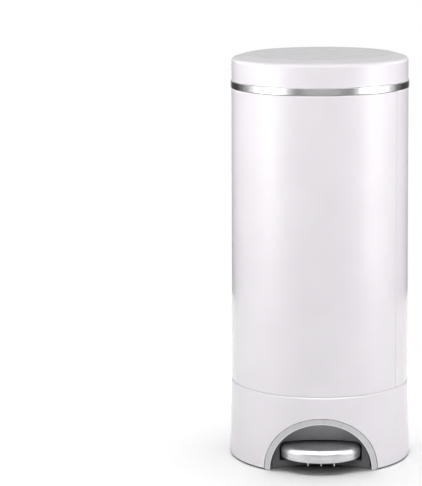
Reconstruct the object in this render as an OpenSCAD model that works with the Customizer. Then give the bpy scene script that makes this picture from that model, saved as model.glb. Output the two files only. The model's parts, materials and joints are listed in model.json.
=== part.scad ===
// Step-open nappy bin: a round pail with a pedal, a hinged lid, a swinging front door,
// two odour-sealing jaws and a ring of folded film.
// Origin: on the floor, under the middle of the bin. The pedal faces -Y, +X is to its right.

/* [Bin] */
// Height of the closed bin
total_h = 650; // [600:1:700]
// Radius of the body under the trim band
body_r_head = 140.3; // [135:0.1:146]
// How much wider the body is at its foot
body_draft = 1.5; // [0.5:0.1:2]
// Thickness of the moulded walls
wall = 2.8; // [2.2:0.1:3.2]
// Seam gap round the door
seam = 0.8; // [0.6:0.1:1.2]

/* [Base] */
// Height of the base
base_h = 123.5; // [118:0.5:130]
// How far the base's top edge stands proud of the door
base_proud = 0.9; // [0.6:0.1:1.5]
// How much wider the base is at the floor than at its top edge
base_flare = 3; // [2:0.1:4]
// Radius of the arch over the pedal
arch_r = 90; // [86:0.5:94]
// Width of the grey trim round the arch
arch_trim_w = 11; // [8:0.5:14]
// How far the recess behind the arch domes back
cove_dome = 31; // [26:0.5:34]
// Thickness of the non-slip foot ring under the base
foot_h = 2; // [1.5:0.1:3]

/* [Pedal] */
// Width of the pedal
pedal_w = 127; // [118:0.5:132]
// How far the pedal stands out in front of the base
pedal_out = 5.3; // [3:0.1:9]
// Height of the pedal's top face
pedal_top = 39.5; // [37:0.5:42]
// Height of the pedal's lower rim
pedal_rim = 19.5; // [18:0.5:22]
// Distance of the pedal's axle in front of the bin's axis
pedal_axle_y = 60; // [56:0.5:64]
// Height of the pedal's axle
pedal_axle_z = 27; // [26:0.5:29]
// Radius of the pedal's axle
pedal_axle_r = 3; // [2.5:0.1:4]

/* [Lid] */
// How far the lid's side stands in from the body's
lid_in = 0.3; // [0:0.1:1]
// Width of the sloping shoulder
lid_slope_w = 22; // [18:0.5:26]
// Height of the sloping shoulder
lid_shoulder_h = 10; // [8:0.5:13]
// How far the lid's top crowns in the middle
lid_crown = 1.5; // [0.5:0.1:3]
// Height of the straight side of the lid
lid_side_h = 31.6; // [28:0.1:34]
// Angle the lid opens to
lid_angle = 75; // [60:1:80]
// Length of the crank that lifts the lid
lid_crank = 22; // [21:0.5:23]
// How far the lid's hinge stands out behind the body
hinge_out = 3.2; // [2.8:0.1:4]
// Height of the lid's hinge above the band
hinge_rise = 6.5; // [6:0.1:7.5]
// Radius of the lid's hinge pin
hinge_pin_r = 2.5; // [2:0.1:3]

/* [Trim band] */
// Height of the metal band
band_h = 10.4; // [8:0.1:11]
// How far the band stands proud of the body
band_proud = 1.3; // [0.5:0.1:1.5]

/* [Door] */
// Angle of the door's hinge, to the left of the front
door_hinge_a = 95; // [92:0.5:100]
// Angle of the door's free edge, to the right of the front
door_free_a = 57; // [50:0.5:62]
// Radius of the door's hinge barrel
door_barrel_r = 5.2; // [4.8:0.1:6]
// Radius of the door's hinge pins
door_pin_r = 2.5; // [2:0.1:3]
// Gap that lets the door's skin swing past the body beside its hinge
door_swing_gap = 2.7; // [2.7:0.1:4]

/* [Film ring and jaws] */
// Width of the film ring's trough
trough_w = 30; // [26:0.5:32]
// How far each jaw's hinge stands outside the throat
jaw_out = 4; // [3.5:0.5:5]
// Angle each jaw swings down to
jaw_angle = 84; // [76:1:86]
// Height of the film ring's inner wall
ring_h = 29; // [24:0.5:32]

/* [Push rod] */
// How far the push rod stands in from the body's side
rod_in = 16.3; // [15.5:0.1:17]
// Radius of the push rod
rod_r = 3.5; // [3:0.1:4]

/* [Latch] */
// Angle of the release button, to the right of the front
button_a = 105; // [100:1:110]
// Angle of the latch's pivot, to the right of the front
latch_pivot_a = 140; // [136:1:144]
// Radius of the release button
button_r = 9; // [7:0.5:11]

/* [Hidden] */
$fn = 96;

// Clearances
run_gap = 0.05;    // a pin or rod in its bore
fit_gap = 0.3;     // a fixed piece in its seat
slot_gap = 0.7;    // a pin in a straight slot that it crosses on an arc
far = 1000;        // longer than anything that it cuts

// Radii and reaches that follow the body's radius
body_r_foot = body_r_head + body_draft;
base_r_head = body_r_foot + base_proud;
base_r_foot = base_r_head + base_flare;
pedal_reach = base_r_foot + pedal_out;
lid_r = body_r_head - lid_in;
lid_top_r = lid_r - lid_slope_w;
hinge_y = body_r_head + hinge_out;
rod_y = body_r_head - rod_in;

// Heights
lid_gap = 0.5;     // between the band and the lid
band_top = total_h - lid_crown - lid_shoulder_h - lid_side_h - lid_gap;
lid_foot = band_top + lid_gap;
band_foot = band_top - band_h;
hinge_z = band_top + hinge_rise;
door_foot = base_h + seam;
door_head = band_foot - seam;

// Linkage
rod_travel = 2 * lid_crank * sin(lid_angle / 2);
crank_drop = rod_travel / 2;
crank_back = lid_crank * cos(lid_angle / 2);
arm_tip_z = pedal_axle_z - rod_travel / 2;
jaw_crank = rod_travel / 2 / sin(jaw_angle / 2);
jaw_pin_x = jaw_crank * cos(jaw_angle / 2);

// Film ring, its holder and the jaws hang from the collar
web_z = band_foot - 15;
web_h = 3;
well_r = rod_y - 16;
holder_r = well_r - 5.5;
holder_floor = web_z - 18;
holder_wall = 2.5;
ring_wall = 2;
ring_r = holder_r - holder_wall - 8;
throat_r = ring_r - trough_w;
jaw_x = throat_r + jaw_out;
ring_foot = holder_floor + 3 + fit_gap;
jaw_z = holder_floor - 22;
jaw_top = jaw_z + 6;
jaw_h = 3;
jaw_y = throat_r + 5.5;
jaw_pin_r = 2.2;
jaw_rod_r = 3;
lug_y = jaw_y + 2.5;
lug_w = 4;
crank_y = lug_y + lug_w + 1;
crank_w = 4;
bar_y = crank_y + crank_w + 1;
bar_w = 6;
bar_h = 12;
bar_z = jaw_z - crank_drop;
crank_pin_r = 2.2;

// Pedal
pedal_corner = 54;
pedal_round = 8;
pedal_gap = 1.6;   // round the pedal where it passes through the recess
sill_h = 11;       // the recess goes on under the pedal up to here
pedal_wall = 2.5;
pedal_cx = pedal_w / 2 - pedal_corner;
pedal_cy = pedal_reach - pedal_corner;
pedal_back = pedal_axle_y + 14;
hub_r = 8;
hub_w = 34;

// Recess behind the arch
cove_r = arch_r - arch_trim_w;
cove_start = sqrt(pow(base_r_foot - 1, 2) - pow(cove_r, 2));
liner_w = 2.5;

// Door hinge
door_axis_r = body_r_head - door_barrel_r;
door_axis = [-door_axis_r * sin(door_hinge_a), -door_axis_r * cos(door_hinge_a)];

// Latch
latch_z = 358;
latch_h = 12;
latch_r = body_r_head - 9.8;
latch_w = 4;
claw_a = 49;

function body_r(z) = body_r_foot
    + (body_r_head - body_r_foot) * (z - base_h) / (band_foot - base_h);
function base_r(z) = base_r_foot + (base_r_head - base_r_foot) * z / base_h;
// A point at a radius and an angle to the right of the front
function at(r, a) = [r * sin(a), -r * cos(a)];
function arc_a(len, r) = len / r * 180 / PI;

// A ring sector between two angles to the right of the front
module sector(from, to) {
    rotate_extrude(angle = to - from, start = from - 90) children();
}

// A wall that follows the body's draft between two heights
module drafted(inset, thick, low, high) {
    polygon([
        [body_r(low) - inset - thick, low], [body_r(low) - inset, low],
        [body_r(high) - inset, high], [body_r(high) - inset - thick, high]
    ]);
}

module ring(r_in, r_out, low, high) {
    rotate_extrude()
        translate([r_in, low])
            square([r_out - r_in, high - low]);
}

module x_rod(r, half, y, z) {
    translate([-half, y, z])
        rotate([0, 90, 0])
            cylinder(r = r, h = 2 * half);
}

module y_rod(r, from, to, x, z) {
    translate([x, to, z])
        rotate([90, 0, 0])
            cylinder(r = r, h = to - from);
}

module z_rod(r, low, high, at = [0, 0]) {
    translate([at[0], at[1], low])
        cylinder(r = r, h = high - low);
}

// A box given by its half width in X and its spans in Y and Z
module slab(half, y0, y1, z0, z1) {
    translate([-half, y0, z0])
        cube([2 * half, y1 - y0, z1 - z0]);
}

module box(x0, x1, y0, y1, z0, z1) {
    translate([x0, y0, z0])
        cube([x1 - x0, y1 - y0, z1 - z0]);
}

// One unbroken round wire along a list of points
function unit(v) = v / norm(v);
function tangent(p, i) = unit(p[min(i + 1, len(p) - 1)] - p[max(i - 1, 0)]);
module wire(p, r, sides, up) {
    rings = [for (i = [0:len(p) - 1])
        let (t = tangent(p, i), a = unit(cross(up, t)), b = cross(t, a))
        for (k = [0:sides - 1]) p[i] + r * (cos(360 * k / sides) * a + sin(360 * k / sides) * b)];
    n = len(p);
    sides_faces = [for (i = [0:n - 2], k = [0:sides - 1])
        let (a = i * sides + k, b = i * sides + (k + 1) % sides)
        each [[a, b, a + sides], [b, b + sides, a + sides]]];
    ends = [for (k = [1:sides - 2])
        each [[0, k + 1, k], [(n - 1) * sides, (n - 1) * sides + k, (n - 1) * sides + k + 1]]];
    polyhedron(points = rings, faces = [for (f = concat(sides_faces, ends)) [f[0], f[2], f[1]]]);
}

// A coil spring that stands on z = 0
spring_steps = 8;
function coil(r, h, turns) = [for (i = [0:turns * spring_steps])
    let (a = 360 * i / spring_steps)
    [r * cos(a), r * sin(a), h * i / (turns * spring_steps)]];

// ---- Base ----

module base_outline(inset) {
    polygon([
        [0, foot_h], [base_r(foot_h) - inset, foot_h],
        [base_r(base_h) - inset, base_h - base_wall],
        [base_r(base_h) - inset - base_chamfer, base_h - base_chamfer],
        [base_r(base_h) - inset - base_wall, base_h], [0, base_h]
    ]);
}

screw_angles = [-65, 65, -140, 140];
boss_r = 4.5;
boss_at = base_r_foot - 14.7;
opening_r = base_r_head - 18.7;
rod_way = 11;      // half width of the way for the push rod
rod_way_in = 7;    // from the rod's axis to the front of its way
screw_r = 1.6;
head_r = 3.4;
head_h = 2;
screw_way = 0.4;   // wider than the screw in a piece that it passes through
base_wall = 3;
base_chamfer = 0.9;
rod_socket = 10;   // depth of the door's lower socket
plate_z = 3;
plate_h = 2.5;
boss_top = 30;
rib_w = 2.4;

module base_shell() {
    color("#e3e0e4")
    difference() {
        union() {
            difference() {
                rotate_extrude() base_outline(0);
                rotate_extrude()
                    polygon([
                        [0, 0], [base_r(0) - base_wall, 0], [base_r(base_h) - base_wall, base_h - base_wall],
                        [opening_r, base_h - base_wall], [opening_r, base_h + 1], [0, base_h + 1]
                    ]);
            }
            for (a = screw_angles) {
                z_rod(boss_r, plate_z + plate_h, boss_top, at(boss_at, a));
                rotate([0, 0, a - 90])
                    translate([boss_at, -rib_w / 2, plate_z + plate_h + 3])
                        cube([base_r(boss_top) - boss_at - base_wall / 2, rib_w, boss_top - plate_z - plate_h - 5]);
            }
        }
        translate([0, -40, 0])
            rotate([90, 0, 0])
                cylinder(r = arch_r, h = far);
        for (a = screw_angles)
            z_rod(screw_r, 0, boss_top - 6, at(boss_at, a));
        // way for the push rod
        slab(rod_way, rod_y - rod_way_in, base_r_head - 2 * base_wall, base_h - rod_socket, base_h + 1);
        // socket for the door's lower pin
        z_rod(door_pin_r + run_gap, base_h - rod_socket, base_h + 1, door_axis);
    }
}

// Outline of the pedal's slot: square below, rounded like the pedal above
function slot_outline() =
    let (half = pedal_w / 2 + pedal_gap, top = pedal_top + pedal_gap, r = pedal_round + pedal_gap)
    concat(
        [[-half, sill_h], [half, sill_h]],
        [for (a = [0:15:90]) [half - r + r * cos(a), top - r + r * sin(a)]],
        [for (a = [90:15:180]) [-half + r + r * cos(a), top - r + r * sin(a)]]);

// The grey recess: a trim ring flush with the base, and a dome behind it
module arch_liner() {
    steps = 9;
    depth = function (r_out, dome) [for (i = [0:steps])
        [r_out * cos(90 * i / steps), -cove_start + dome * sin(90 * i / steps)]];
    inner = depth(cove_r, cove_dome);
    outer = depth(cove_r + liner_w, cove_dome + liner_w);
    color("#b4b3b8")
    difference() {
        intersection() {
            rotate([90, 0, 0])
                rotate_extrude(angle = 180)
                    mirror([0, 1])
                        polygon(concat(
                            [[cove_r, -far]], inner, [for (i = [steps:-1:2]) outer[i]],
                            [[arch_r - fit_gap, outer[2][1]], [arch_r - fit_gap, -far]]));
            rotate_extrude()
                polygon([
                    [0, 0.5], [base_r(0) - 0.4, 0.5], [base_r(base_h) - 0.4, base_h], [0, base_h]
                ]);
        }
        // behind the trim the base's own wall and the plate need their room
        difference() {
            slab(far, -far, 0, 0, base_h);
            union() {
                rotate_extrude()
                    translate([base_r_head - 9, 0])
                        square([20, base_h]);
                translate([0, -40, 0])
                    rotate([90, 0, 0])
                        cylinder(r = cove_r + liner_w, h = far);
            }
        }
        // slot that the pedal passes through, above a low sill
        rotate([90, 0, 0])
            linear_extrude(pedal_reach)
                polygon(slot_outline());
    }
}

foot_in = base_r_foot - 9;
foot_lip = 5;

module foot_ring() {
    color("#4a4a4c")
    difference() {
        union() {
            ring(foot_in, base_r_foot - 0.8, 0, foot_h);
            ring(foot_in, base_r(foot_h + foot_lip) - base_wall - 0.2, 0, foot_h + foot_lip);
        }
        slab(arch_r + 1, -far, 0, -1, 20);
    }
}

bracket_x = hub_w + 2;
bracket_w = 5;
cheek_half = 9;

module base_plate() {
    color("#8f8f94")
    difference() {
        union() {
            z_rod(foot_in - fit_gap, plate_z, plate_z + plate_h);
            for (s = [-1, 1])
                box(s > 0 ? bracket_x : -bracket_x - bracket_w, s > 0 ? bracket_x + bracket_w : -bracket_x,
                    -pedal_axle_y - cheek_half, -pedal_axle_y + cheek_half, plate_z, pedal_axle_z + hub_r);
        }
        slab(arch_r + 1, -far, -cove_start + cove_dome + liner_w + 1, 0, plate_z + plate_h + 1);
        x_rod(pedal_axle_r + run_gap, far, -pedal_axle_y, pedal_axle_z);
        for (a = screw_angles)
            z_rod(screw_r + screw_way, 0, far, at(boss_at, a));
    }
}

// Pan-head screws that hold the base plate to the base
module base_screws() {
    color("silver")
    for (a = screw_angles) {
        z_rod(head_r, plate_z - head_h, plate_z, at(boss_at, a));
        z_rod(screw_r - run_gap, plate_z, boss_top - 8, at(boss_at, a));
    }
}

pan_r = body_r_foot - 7.8;
pan_well_r = rod_y - 13.5;
pan_floor = base_h - 11.5;

module floor_pan() {
    color("#dcdade")
    difference() {
        union() {
            ring(pan_well_r - 2.5, pan_r, base_h, base_h + 2);
            ring(pan_well_r - 2.5, pan_well_r, pan_floor, base_h + 1);
            z_rod(pan_well_r - 1, pan_floor, pan_floor + 2.5);
        }
        slab(rod_way, rod_y - rod_way_in, far, pan_floor - 1, far);
        // the door's barrel turns past the rim
        z_rod(door_barrel_r + seam, base_h - 1, base_h + 4, door_axis);
    }
}

// ---- Body ----

hinge_side_a = -door_hinge_a - arc_a(door_barrel_r + door_swing_gap, door_axis_r);
lip_depth = 3.2;

module body_shell() {
    color("#e3e0e4")
    difference() {
        union() {
            sector(door_free_a + arc_a(seam, body_r_head), hinge_side_a + 360)
                drafted(0, wall, base_h, band_foot);
            // jamb lip behind the door's free edge
            sector(door_free_a - 2.5, door_free_a + 4)
                drafted(wall + 0.5, lip_depth - 0.5, door_foot + 4, door_head - 4);
            sector(door_free_a + 1, door_free_a + 4)
                drafted(wall - 0.5, 1.5, door_foot + 4, door_head - 4);
        }
        // hole for the release button
        rotate([0, 0, button_a - 90])
            translate([0, 0, latch_z])
                rotate([0, 90, 0])
                    cylinder(r = button_r + 1.7, h = far);
        // holes for the housing's screws
        for (s = [-1, 1])
            y_rod(screw_r + screw_way, 0, far, s * housing_screw_x, housing_screw_z);
    }
}

// Soft strip that the door's free edge closes on
module door_seal() {
    color("#6d6d70")
    sector(door_free_a - 2.5, door_free_a - 1)
        drafted(wall + 0.2, 0.3, door_foot + 6, door_head - 6);
}

crank_slot = 5;
head_half = 9;
cheek_gap = 4.3;   // half of the gap between the yoke's cheeks
crank_half = 3.5;

module top_collar() {
    color("#dcdade")
    difference() {
        rotate_extrude()
            polygon([
                [well_r - 5, web_z], [well_r + 3, web_z], [well_r + 3, band_foot],
                [body_r_head - 1, band_foot], [body_r_head - 1, band_top - 0.4],
                [body_r_head - 4, band_top - 0.4], [body_r_head - 4, band_foot + web_h],
                [well_r + 3, band_foot + web_h], [well_r + 3, band_top - 2],
                [well_r, band_top - 2], [well_r, web_z + web_h], [well_r - 5, web_z + web_h]
            ]);
        // way for the yoke, and for the crank behind it
        slab(head_half + 2, well_r + 2.5, rod_y + 10, web_z - 1, far);
        slab(crank_slot, rod_y, far, band_foot + 1, far);
        // socket for the door's upper pin
        z_rod(door_pin_r + run_gap, band_foot - 1, band_foot + 10, door_axis);
    }
}

module trim_band() {
    color("#c9cacc")
    difference() {
        ring(body_r_head - 1 + 0.1, body_r_head + band_proud, band_foot, band_top);
        slab(crank_slot, 0, far, 0, far);
    }
}

// Holder for the film ring, with the throat and the jaws' lugs
module ring_holder() {
    color("#d3d2d6")
    difference() {
        union() {
            rotate_extrude()
                polygon([
                    [throat_r, jaw_top + 1.5], [throat_r + 2.5, jaw_top + 1.5],
                    [throat_r + 2.5, holder_floor], [holder_r, holder_floor],
                    [holder_r, web_z + web_h + fit_gap], [well_r - fit_gap, web_z + web_h + fit_gap],
                    [well_r - fit_gap, web_z + web_h + fit_gap + 2.5],
                    [holder_r - holder_wall, web_z + web_h + fit_gap + 2.5],
                    [holder_r - holder_wall, holder_floor + 3], [throat_r, holder_floor + 3]
                ]);
            for (sx = [-1, 1], sy = [-1, 1])
                translate([sx * jaw_x, sy * (lug_y + lug_w / 2), 0]) {
                    translate([-4.6, -lug_w / 2, jaw_z])
                        cube([9.2, lug_w, holder_floor + 1 - jaw_z]);
                    y_rod(5, -lug_w / 2, lug_w / 2, 0, jaw_z);
                }
        }
        for (s = [-1, 1])
            y_rod(jaw_rod_r + run_gap, -far, far, s * jaw_x, jaw_z);
    }
}

module film_ring() {
    color("#9fc3dd")
    rotate_extrude()
        polygon([
            [throat_r + 4, ring_foot], [ring_r, ring_foot], [ring_r, ring_foot + ring_h - 8],
            [ring_r - ring_wall, ring_foot + ring_h - 8], [ring_r - ring_wall, ring_foot + ring_wall],
            [throat_r + 4 + ring_wall, ring_foot + ring_wall],
            [throat_r + 4 + ring_wall, ring_foot + ring_h], [throat_r + 4, ring_foot + ring_h]
        ]);
}

// The folded film stands in the ring as a pleated pack
module film_pack() {
    inner = throat_r + 4 + ring_wall + fit_gap;
    outer = ring_r - ring_wall - fit_gap;
    foot = ring_foot + ring_wall;
    pleats = 7;
    pitch = (outer - inner) / pleats;
    top = ring_foot + ring_h - 10;
    color("#eef3f6")
    rotate_extrude($fn = 64)
        polygon(concat(
            [[outer, foot], [outer, top - 2]],
            [for (i = [0:pleats - 1]) each
                [[outer - (i + 0.5) * pitch, top], [outer - (i + 1) * pitch, top - 2]]],
            [[inner, foot]]));
}

// Channel that keeps the bag off the push rod
cover_half = 15;
cover_w = 2;
cover_front = rod_y - 12;
cover_top = bar_z - bar_h / 2 - 9;

module rod_cover() {
    color("#dcdade")
    intersection() {
        difference() {
            slab(cover_half, cover_front, far, base_h + 2, cover_top);
            slab(cover_half - cover_w, cover_front + cover_w, far, 0, far);
        }
        z_rod(body_r_head - wall - 0.1, 0, far);
    }
}

guide_z = cover_top - 34;
guide_h = 14;

module rod_guide() {
    color("#8f8f94")
    difference() {
        intersection() {
            slab(cover_half - cover_w - fit_gap, rod_y - 8, far, guide_z, guide_z + guide_h);
            z_rod(body_r_head - wall - 0.1, 0, far);
        }
        z_rod(rod_r + run_gap, 0, far, [0, rod_y]);
    }
}

spring_h = 36;
spring_r = 5.8;
spring_wire = 0.8;
spring_turns = 6;

module return_spring() {
    echo(return_spring_gap = spring_h / spring_turns - 2 * spring_wire);
    color("silver")
    translate([0, rod_y, guide_z - spring_h + spring_wire - fit_gap])
        wire(coil(spring_r, spring_h - 2 * spring_wire, spring_turns), spring_wire, 6, [0, 0, 1]);
}

// ---- Lid hinge at the back ----

housing_half = 46;
housing_back = hinge_y + 8.5;
housing_foot = band_foot - 26;
housing_top = hinge_z - 8;
housing_screw_x = 30;
housing_screw_z = band_foot - 14;
screw_seat = sqrt(pow(body_r(housing_screw_z) - wall, 2) - pow(housing_screw_x, 2));
barrel_r = 6.5;
barrel_half = 34.3;
lug_half = 8.2;

// Outline of the housing seen from above, drawn in by a thickness
function housing_outline(inset) =
    let (r = 6 - inset * 0.5, half = housing_half - inset, back = housing_back - inset)
    concat(
        [[half, body_r_head - 20.3], [-half, body_r_head - 20.3]],
        [for (a = [180:-30:90]) [-half + r + r * cos(a), back - r + r * sin(a)]],
        [for (a = [90:-30:0]) [half - r + r * cos(a), back - r + r * sin(a)]]);

module hinge_housing() {
    color("#e3e0e4")
    difference() {
        union() {
            difference() {
                translate([0, 0, housing_foot])
                    linear_extrude(housing_top - housing_foot)
                        polygon(housing_outline(0));
                translate([0, 0, housing_foot + 3])
                    linear_extrude(housing_top - housing_foot - 6)
                        polygon(housing_outline(3));
            }
            for (s = [-1, 1]) {
                translate([s * (barrel_half + 0.5 + lug_half / 2), 0, 0]) {
                    slab(lug_half / 2, hinge_y - 3, hinge_y + 5, housing_top - 1, hinge_z);
                    x_rod(barrel_r, lug_half / 2, hinge_y, hinge_z);
                }
                // screw posts
                y_rod(4, screw_seat - 6.2, housing_back - 2, s * housing_screw_x, housing_screw_z);
            }
        }
        z_rod(body_r_head + band_proud + fit_gap, 0, far, $fn = 480);
        x_rod(hinge_pin_r + run_gap, far, hinge_y, hinge_z);
        slab(crank_slot, 0, housing_back - 4, housing_top - 4, far);
        for (s = [-1, 1])
            y_rod(screw_r, 0, housing_back - 5, s * housing_screw_x, housing_screw_z);
    }
}

module hinge_screws() {
    color("silver")
    for (s = [-1, 1]) {
        y_rod(head_r, screw_seat - 4.2, screw_seat - 1.8, s * housing_screw_x, housing_screw_z);
        y_rod(screw_r - run_gap, screw_seat - 2.2, housing_back - 7, s * housing_screw_x, housing_screw_z);
    }
}

module lid_hinge_pin() {
    color("silver")
    x_rod(hinge_pin_r, barrel_half + lug_half, hinge_y, hinge_z);
}

module door_pins() {
    color("silver") {
        z_rod(door_pin_r, base_h - 8, door_foot + 14, door_axis);
        z_rod(door_pin_r, door_head - 14, band_foot + 2.5, door_axis);
    }
}

module pedal_axle() {
    color("silver")
    x_rod(pedal_axle_r, bracket_x + bracket_w + 2, -pedal_axle_y, pedal_axle_z);
}

// ---- Pedal ----

// Rounded profile of the pedal's rim: reach from a corner's centre, and height
function pedal_profile(grow, low, high, round) = concat(
    [[0, low], [pedal_corner + grow, low]],
    [for (i = [0:4]) let (a = 22.5 * i)
        [pedal_corner + grow - round + round * cos(a), high - round + round * sin(a)]],
    [[0, high]]);

module pedal_form(grow, low, high, round, back) {
    profile = pedal_profile(grow, low, high, round);
    for (s = [-1, 1])
        translate([s * pedal_cx, -pedal_cy, 0])
            rotate_extrude(angle = 90, start = s > 0 ? -90 : 180)
                polygon(profile);
    translate([-pedal_cx, -pedal_cy, 0])
        rotate([90, 0, 90])
            linear_extrude(2 * pedal_cx)
                mirror([1, 0])
                    polygon(profile);
    translate([0, -pedal_cy, 0])
        rotate([90, 0, 180])
            linear_extrude(pedal_cy - back)
                union() {
                    translate([pedal_cx, 0]) polygon(profile);
                    translate([-pedal_cx, 0]) mirror([1, 0]) polygon(profile);
                    translate([-pedal_cx, low]) square([2 * pedal_cx, high - low]);
                }
}

rib_pitch = 20.5;

module pedal_pad() {
    color("#c4c4c8")
    union() {
        difference() {
            pedal_form(0, pedal_rim, pedal_top, pedal_round, pedal_back);
            pedal_form(-pedal_wall, pedal_rim - 5, pedal_top - pedal_wall, pedal_round - 2, pedal_back - 5);
        }
        // ribs under the front of the pedal
        for (i = [-1:1])
            translate([i * rib_pitch - 0.8, -pedal_reach + 6, pedal_rim - 3])
                cube([1.6, 16, pedal_top - pedal_wall - pedal_rim + 4]);
    }
}

lever_top = pedal_top - pedal_wall - 0.2;
tray_half = 46;    // half width of the plate under the pedal
tray_h = 5;
tray_screw_x = 34;
small_head_r = 3.2;
arm_half = 4;      // half width of the rear arm
arm_eye_r = 5.5;
fork_half = 9;

module pedal_lever() {
    color("#5c5c60")
    difference() {
        union() {
            slab(tray_half, -pedal_cy - 12, -pedal_back + 2, lever_top - tray_h, lever_top);
            slab(hub_w, -pedal_back, -pedal_axle_y, pedal_axle_z - 5, lever_top);
            x_rod(hub_r, hub_w, -pedal_axle_y, pedal_axle_z);
            // rear arm
            rotate([90, 0, 90])
                translate([0, 0, -arm_half])
                    linear_extrude(2 * arm_half)
                        polygon([
                            [-pedal_axle_y, pedal_axle_z - 5], [rod_y, arm_tip_z - 4.5],
                            [rod_y, arm_tip_z + 4.5], [-pedal_axle_y, pedal_axle_z + 6]
                        ]);
            x_rod(arm_eye_r, arm_half, rod_y, arm_tip_z);
            x_rod(crank_pin_r, fork_half - 0.5, rod_y, arm_tip_z);
        }
        x_rod(pedal_axle_r + run_gap, far, -pedal_axle_y, pedal_axle_z);
        // room for the pad's screws
        for (i = [-1, 1])
            z_rod(screw_r + fit_gap, 0, lever_top + 1, [i * tray_screw_x, -pedal_cy]);
    }
}

module pedal_screws() {
    color("silver")
    for (i = [-1, 1]) {
        z_rod(small_head_r, lever_top - tray_h - head_h, lever_top - tray_h, [i * tray_screw_x, -pedal_cy]);
        z_rod(screw_r, lever_top - tray_h, lever_top, [i * tray_screw_x, -pedal_cy]);
    }
}

// ---- Push rod ----

fork_top = arm_tip_z + 26;
fork_d = 8;        // half depth of the fork and of the yoke
rod_foot = arm_tip_z + 14;
rod_head = bar_z - bar_h / 2 + 30;
pin_way = crank_pin_r + slot_gap;
jaw_pin_way = jaw_pin_r + slot_gap;
collar_r = 7.2;    // collar that the return spring pushes on
spine_foot = bar_z - bar_h / 2;
crank_pin_z = hinge_z - crank_drop;
crank_pin_y = hinge_y - crank_back;
crank_far_y = hinge_y - lid_crank;

module push_rod() {
    color("silver") {
        z_rod(rod_r, rod_foot, rod_head, [0, rod_y]);
        z_rod(collar_r, guide_z - spring_h - 5, guide_z - spring_h - 1, [0, rod_y]);
    }
}

// Fork that the pedal's arm lifts
module rod_fork() {
    color("#8f8f94")
    difference() {
        slab(fork_half, rod_y - fork_d, rod_y + fork_d, arm_tip_z - 6, fork_top);
        slab(arm_half + 0.6, rod_y - fork_d - 1, rod_y + fork_d + 1, 0, arm_tip_z + 12);
        slab(fork_half + 1, rod_y - 4.5, rod_y + 4.5, arm_tip_z - pin_way, arm_tip_z + pin_way);
        z_rod(rod_r + run_gap, rod_foot, far, [0, rod_y]);
    }
}

// Yoke at the top: one slot lifts the lid's crank, a cross bar turns the jaws
module rod_yoke() {
    color("#8f8f94")
    difference() {
        union() {
            slab(head_half, rod_y - 11.5, rod_y + fork_d, crank_pin_z - 10, crank_pin_z + 7.5);
            slab(head_half, rod_y - fork_d, rod_y + fork_d, spine_foot, crank_pin_z - 9);
            slab(6, bar_y, rod_y, bar_z - bar_h / 2, bar_z + bar_h / 2);
            slab(jaw_x + jaw_crank + jaw_pin_way + 3, bar_y, bar_y + bar_w,
                bar_z - bar_h / 2, bar_z + bar_h / 2);
        }
        z_rod(rod_r + run_gap, 0, rod_head, [0, rod_y]);
        // room for the crank between the cheeks
        slab(cheek_gap, rod_y - 7.6, rod_y + fork_d + 1, crank_pin_z - 6, far);
        slab(cheek_gap, rod_y - 1, rod_y + fork_d + 1, crank_pin_z - 16, crank_pin_z);
        // slot for the crank's pin
        slab(head_half + 1, crank_far_y - pin_way, crank_pin_y + pin_way,
            crank_pin_z - pin_way, crank_pin_z + pin_way);
        // slots for the jaws' pins
        for (s = [-1, 1])
            box(s > 0 ? jaw_x + jaw_pin_x - jaw_pin_way : -jaw_x - jaw_crank - jaw_pin_way,
                s > 0 ? jaw_x + jaw_crank + jaw_pin_way : -jaw_x - jaw_pin_x + jaw_pin_way,
                0, far, bar_z - jaw_pin_way, bar_z + jaw_pin_way);
    }
}

// ---- Lid ----

lid_rim_z = lid_foot + lid_side_h;
lid_flat_z = lid_rim_z + lid_shoulder_h;

// Half outline of the lid, drawn in by a thickness
function lid_outline(inset) = [
    [lid_r - inset, lid_foot], [lid_r - inset, lid_rim_z - inset * 0.4],
    [lid_r - 0.8 - inset, lid_rim_z + 2.4 - inset * 0.6],
    [lid_r - 3.6 - inset * 0.8, lid_rim_z + 4.3 - inset * 0.9],
    [lid_top_r + 1.5 - inset * 0.2, lid_flat_z - 0.6 - inset],
    [lid_top_r - 3, lid_flat_z - inset],
    [lid_top_r * 0.5, lid_flat_z + lid_crown * 0.75 - inset],
    [0, lid_flat_z + lid_crown - inset]
];

lid_boss_x = 26;
lid_plate_top = hinge_z + barrel_r;
lid_boss_y = hinge_y - 22;
lid_boss_top = lid_flat_z - wall - 1.2;

module lid_shell() {
    color("#e3e0e4")
    difference() {
        union() {
            rotate_extrude()
                polygon(concat(
                    lid_outline(0),
                    [for (i = [7:-1:0]) lid_outline(wall)[i]]));
            for (s = [-1, 1])
                z_rod(4.5, lid_plate_top, lid_boss_top, [s * lid_boss_x, lid_boss_y]);
        }
        slab(barrel_half + 0.7, lid_boss_y - 22, far, 0, lid_plate_top + 1);
        for (s = [-1, 1])
            z_rod(screw_r, 0, lid_plate_top + 12, [s * lid_boss_x, lid_boss_y]);
    }
}

liner_z = lid_foot + 1.5;
liner_r = lid_r - wall - 0.4;
liner_h = 2.5;
cup_r = 38.5;
cup_wall = 2;
tab_h = 1.5;
cup_foot = band_foot + 4;
puck_r = 33;

// Inner panel of the lid, with the cup for the odour puck
module lid_liner() {
    color("#d3d2d6")
    difference() {
        union() {
            rotate_extrude()
                polygon([
                    [0, liner_z + liner_h], [0, liner_z + 0.3], [cup_r, liner_z + 0.3], [cup_r, cup_foot],
                    [cup_r + cup_wall, cup_foot], [cup_r + cup_wall, liner_z], [liner_r, liner_z],
                    [liner_r, liner_z + liner_h]
                ]);
            // bayonet tabs
            for (a = [0, 180])
                sector(a - 30, a + 30)
                    translate([cup_r - 1.2, cup_foot])
                        square([cup_wall, tab_h]);
        }
        slab(barrel_half + 1, cover_front, far, 0, far);
    }
}

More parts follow.
